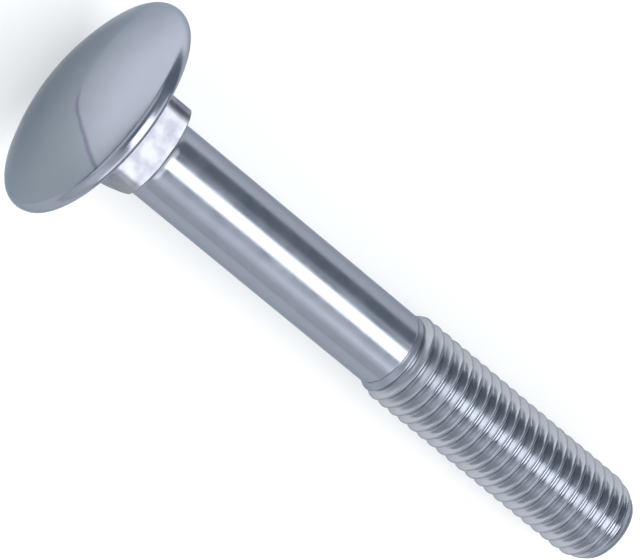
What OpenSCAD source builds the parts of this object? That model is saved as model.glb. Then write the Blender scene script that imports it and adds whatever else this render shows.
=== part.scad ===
// Carriage bolt: a round domed head, a square neck, a plain shank and a rolled thread, all one piece.
// It is drawn upright on its own axis, with the seat under the head at z = 0 and the tip at the top,
// and is then laid on the ground, which the rim of the head and the crests of the thread touch.

/* [Head] */
// Diameter of the head over its rim
head_d = 30.2; // [27:0.2:38]
// Height of the head, from the seat to the crown of the dome
head_h = 5.5; // [5:0.1:6.5]
// Height of the rim, from the seat to the edge of the dome
rim_h = 1.7; // [1.6:0.05:2]
// Height of the rim's widest line above the seat
rim_mid = 0.8; // [0.6:0.05:0.8]
// Distance by which the edge of the dome lies inside that line
rim_in = 0.35; // [0.25:0.05:0.4]

/* [Square neck] */
// Width of the neck across its flats
neck_w = 12.5; // [10:0.1:15]
// Length of the neck, from the seat
neck_h = 7.7; // [6.5:0.1:10]
// Radius along the neck's four edges
neck_round = 1.8; // [1:0.1:2.4]
// Length of the conical cut that rounds off the four edges at the neck's end
neck_cut = 0.6; // [0.4:0.1:1.5]
// Distance outside the flats at which that cut ends
neck_out = 0.25; // [0.1:0.05:0.4]
// Radius that fills the corner between the neck and the head
seat_fillet = 0.6; // [0.3:0.1:1]
// Turn of the neck's flats from level
neck_turn = -8; // [-45:1:45]

/* [Shank] */
// Length of the bolt under its head
length = 90; // [60:1:140]
// Depth of the plain shank below the neck's flats
shank_in = 1.05; // [0.8:0.05:2]
// Length over which the shank swells to meet the neck
swell_len = 1.6; // [1:0.1:3]
// Height by which the shank swells there
swell = 0.4; // [0.2:0.05:0.45]

/* [Thread] */
// Nominal diameter of the thread, over its crests
thread_d = 12; // [10:0.2:14]
// Pitch of the thread
pitch = 1.75; // [1.5:0.25:2]
// Length of the thread, from the tip
thread_len = 40.4; // [20:0.2:48]
// Length over which the first turns rise from the shank
run_in = 2.6; // [0.8:0.1:4]
// Depth of the edge of the tip's flat end below the crests
tip_in = 1.4; // [1.1:0.1:2]
// Length of the rounded taper at the tip
tip_len = 3.6; // [2.5:0.1:4.5]
// Radius that the taper curves with
nose_r = 7; // [5:0.5:9]

/* [Hidden] */

$fn = 96;
steel = "#b4bcc8";
cross = 0.3;  // how far one shape runs on through another
bite = 0.001;  // how far a tangent line cuts into its circle, so that the two meet cleanly

head_r = head_d / 2;
shank_r = neck_w / 2 - shank_in;
thread_r = thread_d / 2;
tip_r = thread_r - tip_in;

// The dome is part of a sphere that passes through the crown and the dome's edge.
dome_edge_r = head_r - rim_in;
dome_h = head_h - rim_h;
dome_r = (dome_edge_r ^ 2 + dome_h ^ 2) / (2 * dome_h);

// The side of the rim is an arc through the dome's edge, and rim_c is its centre.
rim_round = ((rim_h - rim_mid) ^ 2 + rim_in ^ 2) / (2 * rim_in);
rim_c = [head_r - rim_round, -rim_mid];

// Distance from the bolt's axis to the centres that the neck's edges are rounded about.
corner = neck_w / 2 - neck_round;

// ISO metric thread: 60 degree flanks, crests an eighth of the pitch wide and roots a quarter.
thread_depth = 0.5413 * pitch;
root_r = thread_r - thread_depth;
crest_w = pitch / 8;
root_w = pitch / 4;
flank_w = (pitch - crest_w - root_w) / 2;
steps = 36;
thread_z = length - thread_len;

// The bolt rests on its rim and on the last full crest of the thread, so its axis slopes.
crest_z = length - tip_len - cross;
rest = [crest_z - rim_c.y, rim_c.x - thread_r];
slope = atan2(rest.y, rest.x) + asin(rim_round / norm(rest));
axis_z = rim_c.x * cos(slope) + rim_c.y * sin(slope) + rim_round;
low_x = (dome_r - head_h) * cos(slope) - dome_r;
high_x = length * cos(slope) + tip_r * sin(slope);

module head() {
    rotate_extrude() intersection() {
        translate([0, dome_r - head_h]) circle(dome_r, $fn = 720);
        translate([0, -head_h - cross]) square([head_r + cross, head_h + cross]);
        union() {
            translate(rim_c) circle(rim_round);
            translate([0, -head_h - 2 * cross]) square([dome_edge_r - cross / 2, head_h + 3 * cross]);
        }
    }
}

module neck() {
    corner_r = corner * sqrt(2) + neck_round;
    end_r = neck_w / 2 + neck_out;
    cone = (corner_r - end_r) / neck_cut;
    intersection() {
        rotate(neck_turn) linear_extrude(neck_h + cross) {
            square([neck_w, 2 * corner], center = true);
            square([2 * corner, neck_w], center = true);
            for (x = [-corner, corner], y = [-corner, corner]) translate([x, y]) circle(neck_round);
        }
        rotate_extrude() polygon([
            [0, -cross], [corner_r + cross, -cross], [corner_r + cross, neck_h - neck_cut - cross / cone],
            [end_r, neck_h], [0, neck_h]]);
    }
}

// The fillet follows the neck's flats as four straight lengths and its edges as four quarter turns.
module seat_fillet() {
    module profile() {
        difference() {
            translate([-cross, -cross]) square(seat_fillet + cross);
            translate([seat_fillet, seat_fillet]) circle(seat_fillet + bite);
        }
    }
    for (side = [0 : 90 : 270]) rotate(neck_turn + side) {
        translate([neck_w / 2, corner]) rotate([90, 0]) linear_extrude(2 * corner) profile();
        translate([corner, corner]) rotate_extrude(angle = 90) translate([neck_round, 0]) profile();
    }
}

module shank() {
    swell_r = (swell_len ^ 2 + swell ^ 2) / (2 * swell);
    run_out = max(shank_r - root_r, 0) + cross;
    cylinder(h = thread_z, r = shank_r);
    translate([0, 0, thread_z]) cylinder(h = run_out, r1 = shank_r, r2 = shank_r - run_out);
    rotate_extrude() difference() {
        translate([0, neck_h - cross]) square([shank_r + swell, swell_len + cross]);
        translate([shank_r + swell_r - bite, neck_h + swell_len]) circle(swell_r);
    }
}

// A closed rod with one continuous thread. Its profile of four points climbs by the pitch in each
// turn, and the last point of one turn joins the first point of the next turn above it.
module threaded_rod(z0, turns) {
    profile = [[root_r, 0], [root_r, root_w], [thread_r, root_w + flank_w],
               [thread_r, root_w + flank_w + crest_w]];
    m = len(profile);
    n = steps * turns;
    function at(i, j) = i * m + j;
    points = [
        for (i = [0 : n], p = profile)
            let (a = 360 * i / steps)
            [p.x * cos(a), p.x * sin(a), z0 + p.y + pitch * i / steps],
        [0, 0, z0 + pitch / 2],
        [0, 0, z0 + pitch * (turns - 1 / 2)]
    ];
    first = len(points) - 2;
    last = len(points) - 1;
    start = [for (i = [0 : steps]) at(i, 0), for (j = [m - 1 : -1 : 1]) at(0, j)];
    end = [for (i = [n - steps : n]) at(i, m - 1), for (j = [m - 2 : -1 : 0]) at(n, j)];
    function quad(a, b, c, d) = [[a, b, c], [a, c, d]];
    faces = [
        for (i = [0 : n - 1], j = [0 : m - 2]) each
            quad(at(i, j), at(i, j + 1), at(i + 1, j + 1), at(i + 1, j)),
        for (i = [0 : n - steps - 1]) each
            quad(at(i, m - 1), at(i + steps, 0), at(i + steps + 1, 0), at(i + 1, m - 1)),
        for (k = [0 : len(start) - 1]) [first, start[k], start[(k + 1) % len(start)]],
        for (k = [0 : len(end) - 1]) [last, end[(k + 1) % len(end)], end[k]]
    ];
    polyhedron(points, faces);
}

module thread() {
    turns = ceil((crest_z - thread_z) / pitch) + 2;
    taper_z = length - tip_len;
    chord = [thread_r - tip_r, tip_len];
    nose_c = [thread_r + tip_r, taper_z + length] / 2
        - sqrt(nose_r ^ 2 - (chord * chord) / 4) * [chord.y, chord.x] / norm(chord);
    intersection() {
        threaded_rod(crest_z - pitch * turns - root_w - flank_w - crest_w, turns + 5);
        rotate_extrude() {
            polygon([
                [0, thread_z], [root_r, thread_z], [thread_r + cross, thread_z + run_in],
                [thread_r + cross, taper_z - cross], [0, taper_z - cross]]);
            intersection() {
                translate([0, taper_z - 2 * cross]) square([thread_r + cross, tip_len + 2 * cross]);
                translate(nose_c) circle(nose_r);
            }
        }
    }
}

module bolt() {
    color(steel)
        translate([-(low_x + high_x) / 2, 0, axis_z]) rotate([0, 90 + slope, 0]) {
            head();
            neck();
            seat_fillet();
            shank();
            thread();
        }
}

bolt();
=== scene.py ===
import bmesh
import bpy
import numpy as np
from mathutils import Matrix, Vector


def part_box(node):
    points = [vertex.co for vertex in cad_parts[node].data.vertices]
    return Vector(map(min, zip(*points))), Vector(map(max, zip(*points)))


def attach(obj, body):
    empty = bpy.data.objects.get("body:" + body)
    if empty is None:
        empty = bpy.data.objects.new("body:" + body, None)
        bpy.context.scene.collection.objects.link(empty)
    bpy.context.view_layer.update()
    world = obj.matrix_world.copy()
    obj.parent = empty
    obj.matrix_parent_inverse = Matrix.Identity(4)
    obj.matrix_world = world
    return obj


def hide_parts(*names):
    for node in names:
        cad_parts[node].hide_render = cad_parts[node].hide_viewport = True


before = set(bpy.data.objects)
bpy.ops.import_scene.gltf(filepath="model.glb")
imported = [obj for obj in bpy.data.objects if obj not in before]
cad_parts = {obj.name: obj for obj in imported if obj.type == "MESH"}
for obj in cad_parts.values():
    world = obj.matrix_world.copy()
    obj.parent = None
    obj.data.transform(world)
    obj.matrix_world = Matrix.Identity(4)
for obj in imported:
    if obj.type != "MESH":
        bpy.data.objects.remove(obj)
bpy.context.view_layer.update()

# ---------------------------------------------------------------------------------------------
# Carriage bolt: one piece of steel wire, cold forged into a domed head and a square neck, with a
# thread rolled on its other end, and then zinc plated. Its surface is worked out in millimetres
# about its own axis, in rings of points, from the crown, past the seat at height 0, to the tip.
# ---------------------------------------------------------------------------------------------
MM = 0.001
STEPS = 144
turn = np.arange(STEPS) * 2 * np.pi / STEPS


def rows(radius, height):
    """Rings about the axis, as an array of rings by directions by (radius, height). Each of the
    two is one number, a number for each ring, or a number for each of the STEPS directions."""
    radius, height = np.broadcast_arrays(np.atleast_2d(radius), np.atleast_2d(height))
    if radius.shape[1] != STEPS:
        radius, height = (np.repeat(values.T, STEPS, axis=1) for values in (radius, height))
    return np.stack([radius, height], axis=-1)


def straight(start, end, count):
    """Rings from one ring to another, each a weighted mean of the two, without the two ends."""
    share = np.linspace(0, 1, count + 2)[1:-1, None, None]
    return start * (1 - share) + end * share


def eased(before, corner, after, count=5):
    """Rings round a corner: the quadratic curve (1-t)^2 before + 2t(1-t) corner + t^2 after."""
    t = np.linspace(0, 1, count)[:, None, None]
    return (1 - t) ** 2 * before + 2 * t * (1 - t) * corner + t ** 2 * after


def arc(centre, radius, start, end, count):
    """Rings whose profile is a circle's arc: centre plus radius times (cos, sin) of its angles."""
    angle = np.linspace(start, end, count)
    return rows(centre[0] + radius * np.cos(angle), centre[1] + radius * np.sin(angle))


def toward(start, end, reach):
    """The ring that lies the given distance from one ring on the way to another."""
    step = end - start
    return start + step * reach / np.maximum(np.linalg.norm(step, axis=-1, keepdims=True), 1e-9)


# The head: the dome is part of a sphere, and the side of its rim bulges in an arc. The facets of
# the CAD head make its box 0.002 narrower than its 15.1, so that much is taken off here too.
HEAD_R = 15.098
HEAD_H = 5.5
RIM_H = 1.7
RIM_MID = 0.8
RIM_IN = 0.35
DOME_EASE = 0.3
SEAT_EASE = 0.15
DOME_RINGS = 44
RIM_RINGS = 14

edge_r = HEAD_R - RIM_IN
dome_h = HEAD_H - RIM_H
dome_r = (edge_r ** 2 + dome_h ** 2) / (2 * dome_h)
dome_end = -np.arccos(edge_r / dome_r)
rim_round = ((RIM_H - RIM_MID) ** 2 + RIM_IN ** 2) / (2 * RIM_IN)
rim_centre = (HEAD_R - rim_round, -RIM_MID)
rim_start = -np.arcsin((RIM_H - RIM_MID) / rim_round)
rim_end = np.arcsin(RIM_MID / rim_round)

dome_edge = rows(edge_r, -RIM_H)
seat_edge = rows(rim_centre[0] + rim_round * np.cos(rim_end), 0)
dome = arc((0, dome_r - HEAD_H), dome_r, -np.pi / 2, dome_end - DOME_EASE / dome_r, DOME_RINGS)
rim = arc(rim_centre, rim_round, rim_start + DOME_EASE / rim_round,
          rim_end - SEAT_EASE / rim_round, RIM_RINGS)
dome_turn = eased(dome[-1:], dome_edge, rim[:1])
seat_turn = eased(rim[-1:], seat_edge, seat_edge - (SEAT_EASE, 0))

# The square neck: flats with rounded edges, a fillet where it meets the seat, and a conical cut
# that takes the four edges off at its end.
NECK_HALF = 6.25
NECK_H = 7.7
NECK_ROUND = 1.8
NECK_CUT = 0.6
NECK_OUT = 0.25
NECK_TURN = np.radians(-8)
SEAT_FILLET = 0.6
END_EASE = 0.2
FILLET_RINGS = 7


def rounded_square(half, edge_round):
    """Radius of a rounded square in each direction. Folded into one eighth turn, a direction t
    meets the flat at half / cos t, or past the flat's end the circle that rounds the edge."""
    fold = np.abs((turn - NECK_TURN + np.pi / 4) % (np.pi / 2) - np.pi / 4)
    corner = half - edge_round
    middle = corner * (np.cos(fold) + np.sin(fold))
    circle = middle + np.sqrt(np.maximum(middle ** 2 - 2 * corner ** 2 + edge_round ** 2, 0))
    return np.where(half * np.tan(fold) < corner, half / np.cos(fold), circle)


neck_r = rounded_square(NECK_HALF, NECK_ROUND)
widest = (NECK_HALF - NECK_ROUND) * np.sqrt(2) + NECK_ROUND
end_r = NECK_HALF + NECK_OUT
cut_z = NECK_H - np.maximum(neck_r - end_r, 0) * NECK_CUT / (widest - end_r)

sweep = np.linspace(0, np.pi / 2, FILLET_RINGS)
fillet = np.concatenate([
    rows(rounded_square(NECK_HALF + out, NECK_ROUND + out), up)
    for out, up in zip(SEAT_FILLET * (1 - np.sin(sweep)), SEAT_FILLET * (1 - np.cos(sweep)))])
neck_edge = rows(neck_r, cut_z)
neck_end = rows(np.minimum(neck_r, end_r), NECK_H)

# Where the cut is long its two edges are rounded apart, and on the flats, where it has no length,
# as one edge. Between the two the rings are a mean, weighted by the cut's length.
cut_len = np.linalg.norm(neck_end - neck_edge, axis=-1, keepdims=True)
cut_reach = np.minimum(END_EASE, cut_len / 2)
before_cut = toward(neck_edge, fillet[-1:], END_EASE)
after_cut = toward(neck_end, rows(0, NECK_H), END_EASE)
two_edges = np.concatenate([eased(before_cut, neck_edge, toward(neck_edge, neck_end, cut_reach)),
                            eased(toward(neck_end, neck_edge, cut_reach), neck_end, after_cut)])
one_edge = eased(before_cut, (neck_edge + neck_end) / 2, after_cut, count=len(two_edges))
cut_share = np.minimum(cut_len / (2 * END_EASE), 1)
neck_cut = two_edges * cut_share + one_edge * (1 - cut_share)

# The plain shank: it swells to meet the neck.
SHANK_R = 5.2
SWELL = 0.4
SWELL_LEN = 1.6
SWELL_RINGS = 12

swell_r = (SWELL_LEN ** 2 + SWELL ** 2) / (2 * SWELL)
swell = arc((SHANK_R + swell_r, NECK_H + SWELL_LEN), swell_r,
            np.pi + np.arcsin(SWELL_LEN / swell_r), np.pi, SWELL_RINGS)

# The rolled thread: an ISO metric profile that climbs by the pitch in each turn, right-handed. Its
# crests are an eighth of the pitch wide and its roots a quarter. It rises from the shank over the
# first turns, towards a radius just past its crests, and an arc rounds it off at the tip.
LENGTH = 90
THREAD_LEN = 40.4
THREAD_R = 6
PITCH = 1.75
THREAD_DEPTH = 0.5413 * PITCH
CREST_W = PITCH / 8
ROOT_W = PITCH / 4
RUN_IN = 2.6
RUN_IN_R = 6.3
TIP_R = 4.6
TIP_LEN = 3.6
NOSE_R = 7
TIP_EASE = 0.15
CREST_BACK = 3.9
ROLL_SOFT = 0.07
ROLL_SAMPLES = 9
NODES_A_PITCH = 16

root_r = THREAD_R - THREAD_DEPTH
flank_w = (PITCH - CREST_W - ROOT_W) / 2
thread_z = LENGTH - THREAD_LEN
crest_z = LENGTH - CREST_BACK
chord = np.array([THREAD_R - TIP_R, TIP_LEN])
chord_len = np.linalg.norm(chord)
nose_centre = (np.array([THREAD_R + TIP_R, 2 * LENGTH - TIP_LEN]) / 2
               - np.sqrt(NOSE_R ** 2 - chord_len ** 2 / 4) * chord[::-1] / chord_len)


def nose(height):
    """Radius of the rounded taper: an arc about the nose's centre, and no limit before it."""
    reach = np.clip(height - nose_centre[1], 0, NOSE_R)
    taper = nose_centre[0] + np.sqrt(NOSE_R ** 2 - reach ** 2)
    return np.where(height > LENGTH - TIP_LEN, taper, np.inf)


def thread_radius(height, angle):
    """Radius of the thread. Its phase is the height above the crest's edge less the pitch's share
    of a turn, a trapezoid gives the radius there, and a running mean rounds the corners."""
    phase = (height - crest_z) - PITCH * angle / (2 * np.pi)
    slide = np.linspace(-ROLL_SOFT, ROLL_SOFT, ROLL_SAMPLES)
    corners = np.cumsum([0, flank_w, ROOT_W, flank_w, CREST_W])
    profile = np.interp((phase[..., None] + slide) % PITCH, corners,
                        [THREAD_R, root_r, root_r, THREAD_R, THREAD_R]).mean(axis=-1)
    rise = root_r + (height - thread_z) * (RUN_IN_R - root_r) / RUN_IN
    run_out = SHANK_R - (height - thread_z)
    return np.maximum(np.minimum(np.minimum(profile, rise), nose(height)), run_out)


# The helix is a grid of its own: each row of points crosses one pitch, and the rows follow one
# another along the helix.
thread_end = LENGTH - TIP_EASE
first_turn = -np.ceil((crest_z - thread_z) / PITCH) - 1
last_turn = np.ceil((thread_end - crest_z) / PITCH)
along = np.arange(int((last_turn - first_turn) * STEPS) + 1) / STEPS + first_turn
across = np.arange(NODES_A_PITCH + 1) / NODES_A_PITCH
helix_z = np.clip(crest_z + PITCH * (along[:, None] + across), thread_z, thread_end)
helix_angle = np.broadcast_to(2 * np.pi * along[:, None], helix_z.shape)
helix_r = thread_radius(helix_z, helix_angle)

# The whole surface: rings from the crown to the thread, the thread's grid, and rings to the tip.
SEAT_RINGS = 8
NECK_RINGS = 8
NECK_END_RINGS = 3
SHANK_RINGS = 18
TIP_RINGS = 7

tip_ring = rows(nose(thread_end), thread_end)
tip_edge = rows(TIP_R, LENGTH)
tip_turn = eased(tip_ring, tip_edge, rows(TIP_R - TIP_EASE, LENGTH))
shank_start = rows(SHANK_R, NECK_H + SWELL_LEN)
shank_end = rows(SHANK_R, [thread_z - END_EASE, thread_z])
body = np.concatenate([
    dome, dome_turn[1:], rim[1:], seat_turn[1:],
    straight(seat_turn[-1:], fillet[:1], SEAT_RINGS), fillet,
    straight(fillet[-1:], neck_cut[:1], NECK_RINGS), neck_cut,
    straight(neck_cut[-1:], swell[:1], NECK_END_RINGS), swell,
    straight(shank_start, shank_end[:1], SHANK_RINGS), shank_end])
tip = np.concatenate([
    tip_turn, straight(tip_turn[-1:], rows(0, LENGTH), TIP_RINGS), rows(0, LENGTH)])

# The bolt lies on the rim of its head and on its thread, so its axis slopes down to the tip.
cad_low = np.array(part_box("bolt")[0]) / MM
rest_len, rest_drop = crest_z + RIM_MID, rim_centre[0] - THREAD_R
slope = np.arctan2(rest_drop, rest_len) + np.arcsin(rim_round / np.hypot(rest_len, rest_drop))
axis_x = cad_low[0] + dome_r - (dome_r - HEAD_H) * np.cos(slope)
axis_z = cad_low[2] + rim_centre[0] * np.cos(slope) - RIM_MID * np.sin(slope) + rim_round


def placed(radius, height, angle):
    """Points in metres in the shared frame: out from the axis by the radius, with angle 0 down,
    along the axis by the height, then turned by the slope and moved to where the bolt lies."""
    down, side = radius * np.cos(angle), radius * np.sin(angle)
    x = axis_x + height * np.cos(slope) - down * np.sin(slope)
    z = axis_z - height * np.sin(slope) - down * np.cos(slope)
    return np.stack([x, side, z], axis=-1) * MM


def grid_faces(count_u, count_v, start, wrap):
    """Quads of a grid of count_u rows of count_v points, whose numbers begin at start. With wrap,
    the last point of each row joins its first."""
    u, v = np.meshgrid(np.arange(count_u - 1), np.arange(count_v - (not wrap)), indexing="ij")
    near, far = v, (v + 1) % count_v
    quads = np.stack([u * count_v + near, u * count_v + far,
                      (u + 1) * count_v + far, (u + 1) * count_v + near], axis=-1)
    return quads.reshape(-1, 4) + start


def mesh_object(name, points, faces, **attributes):
    """A smooth mesh of the points and faces, with doubled points merged. Each attribute is a number
    at each point, which its material reads by name."""
    mesh = bpy.data.meshes.new(name)
    mesh.from_pydata(points, [], faces)
    for key, values in attributes.items():
        mesh.attributes.new(key, "FLOAT", "POINT").data.foreach_set("value", values)
    shell = bmesh.new()
    shell.from_mesh(mesh)
    bmesh.ops.remove_doubles(shell, verts=shell.verts, dist=1e-8)
    shell.to_mesh(mesh)
    shell.free()
    mesh.shade_smooth()
    piece = bpy.data.objects.new(name, mesh)
    bpy.context.collection.objects.link(piece)
    return piece


body_points = placed(body[..., 0], body[..., 1], turn).reshape(-1, 3)
helix_points = placed(helix_r, helix_z, helix_angle).reshape(-1, 3)
tip_points = placed(tip[..., 0], tip[..., 1], turn).reshape(-1, 3)
helix_start = len(body_points)
tip_start = helix_start + len(helix_points)
helix_faces = grid_faces(len(along), len(across), helix_start, wrap=False)[:, ::-1]
faces = np.concatenate([
    grid_faces(len(body), STEPS, 0, wrap=True), helix_faces,
    grid_faces(len(tip), STEPS, tip_start, wrap=True)])

# The material reads two numbers at each point, both from 0 to 1: groove is the depth below the
# crests as a share of the thread's depth, and flank is the steepness as a share of a flank's.
groove, flank = np.zeros((2, tip_start + len(tip_points)))
groove[helix_start:tip_start] = ((THREAD_R - helix_r) / THREAD_DEPTH).ravel()
climb = np.gradient(helix_r, axis=1) / np.maximum(np.gradient(helix_z, axis=1), 1e-6)
flank[helix_start:tip_start] = np.abs(climb * flank_w / THREAD_DEPTH).ravel()
bolt = mesh_object("carriage_bolt", np.concatenate([body_points, helix_points, tip_points]), faces,
                   groove=np.clip(groove, 0, 1), flank=np.clip(flank, 0, 1))


def linear(hex_colour):
    """Linear RGBA of an sRGB hex colour."""
    srgb = np.array([int(hex_colour[i:i + 2], 16) for i in (1, 3, 5)]) / 255
    return (*np.where(srgb <= 0.04045, srgb / 12.92, ((srgb + 0.055) / 1.055) ** 2.4), 1)


def material(name):
    """An empty node material and its node tree."""
    made = bpy.data.materials.new(name)
    made.use_nodes = True
    made.node_tree.nodes.clear()
    return made, made.node_tree


def node(tree, kind, settings=(), **inputs):
    """Adds a node, sets its settings, and gives each input a value or a link. An input's name has _
    for a space, or is _ and the socket's number where sockets share a name."""
    made = tree.nodes.new("ShaderNode" + kind)
    for key, value in dict(settings).items():
        setattr(made, key, value)
    for key, value in inputs.items():
        socket = made.inputs[int(key[1:]) if key[1:].isdigit() else key.replace("_", " ")]
        if isinstance(value, bpy.types.NodeSocket):
            tree.links.new(value, socket)
        else:
            socket.default_value = value
    return made


# Bright zinc plate on cold forged steel: a thin blue-passivated layer, so a cool grey metal with
# a soft gloss. It keeps the faint unevenness of the forging and fine lines along the drawn wire,
# which are drawn coarser than real ones so that they show. The rolled flanks of the thread are
# brighter, and its roots are painted a duller grey, as painted shade in the thread's recesses.
ZINC = "#999da7"
ZINC_DULL = "#8b909a"
FLANK_BRIGHT = "#b1b4ba"
ROOT_SHADE_GREY = "#6b6f77"
EDGE_GREY = "#c3c9d0"
MOTTLE_MM = 3.5
FORGE_MM = 2.2
LINE_MM = 0.25
LINE_STRETCH = 25

# The patterns lie in the bolt's own frame: X is the height from the seat, Y the side, and Z the
# way up from the axis.
zinc, tree = material("zinc_plated_steel")
place = node(tree, "TexCoord").outputs["Object"]
seat_shift = (-(axis_x * np.cos(slope) - axis_z * np.sin(slope)) * MM, 0,
              -(axis_x * np.sin(slope) + axis_z * np.cos(slope)) * MM)
own_axis = node(tree, "Mapping", Vector=place, Rotation=(0, -slope, 0),
                Location=seat_shift).outputs[0]
height = node(tree, "SeparateXYZ", Vector=own_axis).outputs[0]
mottle = node(tree, "TexNoise", Vector=own_axis, Scale=1 / (MOTTLE_MM * MM), Detail=4, Roughness=0.6)
forged = node(tree, "TexNoise", Vector=own_axis, Scale=1 / (FORGE_MM * MM), Detail=2)
drawn = node(tree, "Mapping", Vector=own_axis, Scale=(1 / LINE_STRETCH, 1, 1)).outputs[0]
lines = node(tree, "TexNoise", Vector=drawn, Scale=1 / (LINE_MM * MM), Detail=3)

plate = node(tree, "Mix", {"data_type": "RGBA"}, _0=mottle.outputs["Fac"],
             _6=linear(ZINC_DULL), _7=linear(ZINC))
steepness = node(tree, "Attribute", {"attribute_name": "flank"}).outputs["Fac"]
on_flank = node(tree, "MapRange", Value=steepness, From_Min=0.35, From_Max=0.85)
rolled = node(tree, "Mix", {"data_type": "RGBA"}, _0=on_flank.outputs[0], _6=plate.outputs[2],
              _7=linear(FLANK_BRIGHT))
# Painted shade: the deepest part of each groove is darkened towards a duller grey.
depth = node(tree, "Attribute", {"attribute_name": "groove"}).outputs["Fac"]
root_shade = node(tree, "MapRange", Value=depth, From_Min=0.86, From_Max=1, To_Min=0, To_Max=0.7)
threaded = node(tree, "Mix", {"data_type": "RGBA"}, _0=root_shade.outputs[0], _6=rolled.outputs[2],
                _7=linear(ROOT_SHADE_GREY))

# Painted reflection of shade on the dome: a field that is a little darker and greener. The
# field's edge is two straight runs joined in a bend. Each run has a direction and a distance from
# the axis, and the slanted one has a faint violet line along it, a painted reflection of a shadow's
# edge.
SLANT_SIDE = (0, -0.902, -0.431)
SLANT_AT = 0.53
LEVEL_SIDE = (0, -0.465, -0.886)
LEVEL_AT = 2.87
BEND_R = 1.6
EDGE_WAVE = 0.8
LINE_HALF = 0.55
LINE_FADE = (-1.8, -0.4)
SHADE_REFLECTION_FADE = (-0.6, 0.8)
EDGE_REFLECTION_TINT = "#cfc6d6"
SHADE_REFLECTION_TINT = "#ecf2f0"

# Painted reflection: how far each point lies past the shaded field's edge, which places the painted
# field and its edge line.
past_slant = node(tree, "VectorMath", {"operation": "DOT_PRODUCT"}, _0=own_axis, _1=SLANT_SIDE)
past_level = node(tree, "VectorMath", {"operation": "DOT_PRODUCT"}, _0=own_axis, _1=LEVEL_SIDE)
from_slant = node(tree, "Math", _0=past_slant.outputs["Value"], _1=SLANT_AT * MM)
from_level = node(tree, "Math", _0=past_level.outputs["Value"], _1=LEVEL_AT * MM)
past_bend = node(tree, "Math", {"operation": "SMOOTH_MAX"}, _0=from_slant.outputs[0],
                 _1=from_level.outputs[0], _2=BEND_R * MM)
past_edge = node(tree, "Math", {"operation": "MULTIPLY_ADD"}, _0=mottle.outputs["Fac"],
                 _1=EDGE_WAVE * MM, _2=past_bend.outputs[0])
off_edge = node(tree, "Math", {"operation": "ABSOLUTE"}, _0=past_edge.outputs[0])
line = node(tree, "MapRange", {"interpolation_type": "SMOOTHSTEP"}, Value=off_edge.outputs[0],
            From_Min=0, From_Max=LINE_HALF * MM, To_Min=1, To_Max=0)
slanted = node(tree, "MapRange", Value=from_slant.outputs[0],
               From_Min=LINE_FADE[0] * MM, From_Max=LINE_FADE[1] * MM)
line_share = node(tree, "Math", {"operation": "MULTIPLY"}, _0=line.outputs[0], _1=slanted.outputs[0])
shade_reflection_share = node(tree, "MapRange", {"interpolation_type": "SMOOTHSTEP"}, Value=past_edge.outputs[0],
                  From_Min=SHADE_REFLECTION_FADE[0] * MM, From_Max=SHADE_REFLECTION_FADE[1] * MM)
shade_reflection = node(tree, "Mix", {"data_type": "RGBA"}, _0=shade_reflection_share.outputs[0], _6=(1, 1, 1, 1),
            _7=linear(SHADE_REFLECTION_TINT))
painted_reflection = node(tree, "Mix", {"data_type": "RGBA"}, _0=line_share.outputs[0], _6=shade_reflection.outputs[2],
             _7=linear(EDGE_REFLECTION_TINT))
# Only the dome takes the painted reflection of shade.
on_dome = node(tree, "Math", {"operation": "LESS_THAN"}, _0=height, _1=-RIM_H * MM)
domed = node(tree, "Mix", {"data_type": "RGBA", "blend_type": "MULTIPLY"}, _0=on_dome.outputs[0],
             _6=threaded.outputs[2], _7=painted_reflection.outputs[2])

# The dies leave the neck rougher than the dome and the drawn wire, and its plate patchy. The
# thread's first turns, which are rolled least, are rougher than the rest.
NECK_PATCH = "#dfdadb"
NECK_PLAIN = "#fffcf4"
SMOOTHEST = 0.17
ROUGHEST = 0.27
NECK_ROUGH = 0.15
FIRST_ROUGH = 0.16
FIRST_LEN = 10

on_neck = node(tree, "Math", {"operation": "COMPARE"}, _0=height, _1=NECK_H / 2 * MM,
               _2=NECK_H / 2 * MM)
patches = node(tree, "MapRange", Value=forged.outputs["Fac"], From_Min=0.4, From_Max=0.6)
patchy = node(tree, "Mix", {"data_type": "RGBA"}, _0=patches.outputs[0], _6=linear(NECK_PATCH),
              _7=linear(NECK_PLAIN))
colour = node(tree, "Mix", {"data_type": "RGBA", "blend_type": "MULTIPLY"}, _0=on_neck.outputs[0],
              _6=domed.outputs[2], _7=patchy.outputs[2])
gloss = node(tree, "MapRange", Value=mottle.outputs["Fac"], From_Min=0.3, From_Max=0.7,
             To_Min=SMOOTHEST, To_Max=ROUGHEST)
necked = node(tree, "Math", {"operation": "MULTIPLY_ADD"}, _0=on_neck.outputs[0], _1=NECK_ROUGH,
              _2=gloss.outputs[0])
first_turns = node(tree, "MapRange", Value=height, From_Min=thread_z * MM,
                   From_Max=(thread_z + FIRST_LEN) * MM, To_Min=FIRST_ROUGH, To_Max=0)
on_thread = node(tree, "Math", {"operation": "GREATER_THAN"}, _0=height, _1=thread_z * MM)
rough = node(tree, "Math", {"operation": "MULTIPLY_ADD"}, _0=on_thread.outputs[0],
             _1=first_turns.outputs[0], _2=necked.outputs[0])

# The unevenness of the forging and the drawn lines are a few thousandths of a millimetre high or
# less, so they are bump.
UNEVEN_HEIGHT = 0.004
LINE_HEIGHT = 0.0006

uneven = node(tree, "Bump", Height=forged.outputs["Fac"], Strength=1, Distance=UNEVEN_HEIGHT * MM)
grain = node(tree, "Bump", Height=lines.outputs["Fac"], Strength=1, Distance=LINE_HEIGHT * MM,
             Normal=uneven.outputs[0])
surface = node(tree, "BsdfPrincipled", Base_Color=colour.outputs[2], Metallic=1,
               Roughness=rough.outputs[0], Normal=grain.outputs[0], Specular_Tint=linear(EDGE_GREY))
node(tree, "OutputMaterial", Surface=surface.outputs[0])
bolt.data.materials.append(zinc)
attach(bolt, "root")
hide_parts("bolt")

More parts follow.
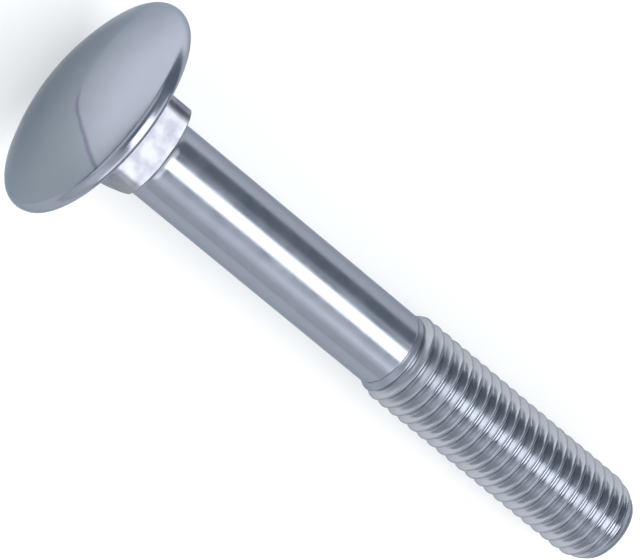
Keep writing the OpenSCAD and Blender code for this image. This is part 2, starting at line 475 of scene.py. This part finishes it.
# ---------------------------------------------------------------------------------------------
# Floor: a wide sheet of white paper that the bolt lies on. It keeps the bolt's soft shadow, and
# a little light of its own, which the camera and reflections see, takes its lit part to white.
# Its sizes, and those of the lamps, are in metres.
# ---------------------------------------------------------------------------------------------
FLOOR_HALF = 3
PAPER = "#b8b9ba"
PAPER_GLOW = 0.5

floor_corners = np.array([(-1, -1, 0), (1, -1, 0), (1, 1, 0), (-1, 1, 0)]) * FLOOR_HALF
floor = mesh_object("floor", floor_corners, np.array([[0, 1, 2, 3]]))
paper, tree = material("white_paper")
ray = node(tree, "LightPath")
camera_or_gloss = node(tree, "Math", {"operation": "MAXIMUM"}, _0=ray.outputs["Is Camera Ray"],
                       _1=ray.outputs["Is Glossy Ray"])
seen = node(tree, "Math", {"operation": "MAXIMUM"}, _0=camera_or_gloss.outputs[0],
            _1=ray.outputs["Is Transmission Ray"])
glow_strength = node(tree, "Math", {"operation": "MULTIPLY"}, _0=seen.outputs[0], _1=PAPER_GLOW)
glow = node(tree, "Emission", Strength=glow_strength.outputs[0])
matt = node(tree, "BsdfDiffuse", Color=linear(PAPER))
sheet = node(tree, "AddShader", _0=matt.outputs[0], _1=glow.outputs[0])
node(tree, "OutputMaterial", Surface=sheet.outputs[0])
floor.data.materials.append(paper)

# ---------------------------------------------------------------------------------------------
# Light: a bright softbox over the bolt, paler ones on both sides, one past each end, a spotlight
# on the floor before the head, and a grey room. The gaps between the softboxes draw the dark
# stripe along the shank.
# ---------------------------------------------------------------------------------------------
LAMP_REACH = 1.5


def softbox(name, radiance, round_axis, rise, length, width):
    """A softbox that faces the bolt. Its direction is turned from straight up round the bolt's
    length by round_axis, then towards the tip by rise, and its long side follows the bolt."""
    round_axis, rise = np.radians((round_axis, rise))
    out = np.array([np.sin(rise), -np.sin(round_axis) * np.cos(rise),
                    np.cos(round_axis) * np.cos(rise)])
    long_side = np.array([1, 0, 0]) - out[0] * out
    long_side /= np.linalg.norm(long_side)
    light = bpy.data.lights.new(name, "AREA")
    light.shape = "RECTANGLE"
    light.size, light.size_y = length, width
    light.energy = radiance * np.pi * length * width
    lamp = bpy.data.objects.new(name, light)
    turned = np.column_stack([long_side, np.cross(out, long_side), out])
    lamp.matrix_world = Matrix.LocRotScale(Vector(out * LAMP_REACH), Matrix(turned.tolist()), None)
    lamp.visible_camera = False
    bpy.context.collection.objects.link(lamp)


softbox("softbox_over", radiance=4.2, round_axis=-9, rise=23, length=1.75, width=0.8)
softbox("softbox_left", radiance=0.1, round_axis=-39, rise=12, length=3, width=0.62)
softbox("softbox_right", radiance=0.36, round_axis=46, rise=12, length=2.6, width=0.7)
softbox("softbox_side", radiance=0.62, round_axis=52, rise=0, length=4, width=2.2)
softbox("softbox_tip", radiance=1.1, round_axis=0, rise=55, length=0.75, width=2.5)
softbox("softbox_head", radiance=0.8, round_axis=0, rise=-66, length=0.7, width=1.9)

# A spotlight from overhead lights the floor before the head, which the dome shows as a pale field
# with an edge across it.
POOL_R = 0.25
POOL_AT = (-0.212, 0.205, 1.2)
POOL_WATTS = 76

spot = bpy.data.lights.new("spot", "SPOT")
spot.energy = POOL_WATTS
spot.spot_size = 2 * np.arctan(POOL_R / POOL_AT[2])
spot.spot_blend = 0.12
spot.shadow_soft_size = 0.02
spotlight = bpy.data.objects.new("spot", spot)
spotlight.location = POOL_AT
bpy.context.collection.objects.link(spotlight)

ROOM = "#929ca8"

world = bpy.data.worlds.new("room")
world.use_nodes = True
world.node_tree.nodes.clear()
room = node(world.node_tree, "Background", Color=linear(ROOM), Strength=1)
node(world.node_tree, "OutputWorld", Surface=room.outputs[0])
bpy.context.scene.world = world

# ---------------------------------------------------------------------------------------------
# Camera: a long lens that looks down on the bolt from over its head, turned so that the bolt
# runs from the upper left to the lower right. AIM and the lens are in millimetres, and the
# camera's distance from AIM, CAMERA_REACH, is in metres.
# ---------------------------------------------------------------------------------------------
AIM = np.array([-5.45, 1.08, 10]) * MM
CAMERA_REACH = 0.5847
CAMERA_DOWN = np.radians(69.38)
CAMERA_ROLL = np.radians(129.66)
LENS = 270
SENSOR = 36

forward = np.array([np.cos(CAMERA_DOWN), 0, -np.sin(CAMERA_DOWN)])
level_up = np.array([np.sin(CAMERA_DOWN), 0, np.cos(CAMERA_DOWN)])
level_right = np.cross(forward, level_up)
up = level_up * np.cos(CAMERA_ROLL) - level_right * np.sin(CAMERA_ROLL)
right = np.cross(forward, up)
view = bpy.data.cameras.new("camera")
view.lens = LENS
view.sensor_width = SENSOR
view.clip_start = 0.01
view.clip_end = 10
camera = bpy.data.objects.new("camera", view)
turned = Matrix(np.column_stack([right, up, -forward]).tolist())
camera.matrix_world = Matrix.LocRotScale(Vector(AIM - forward * CAMERA_REACH), turned, None)
bpy.context.collection.objects.link(camera)
bpy.context.scene.camera = camera
bpy.context.scene.view_settings.view_transform = "Standard"
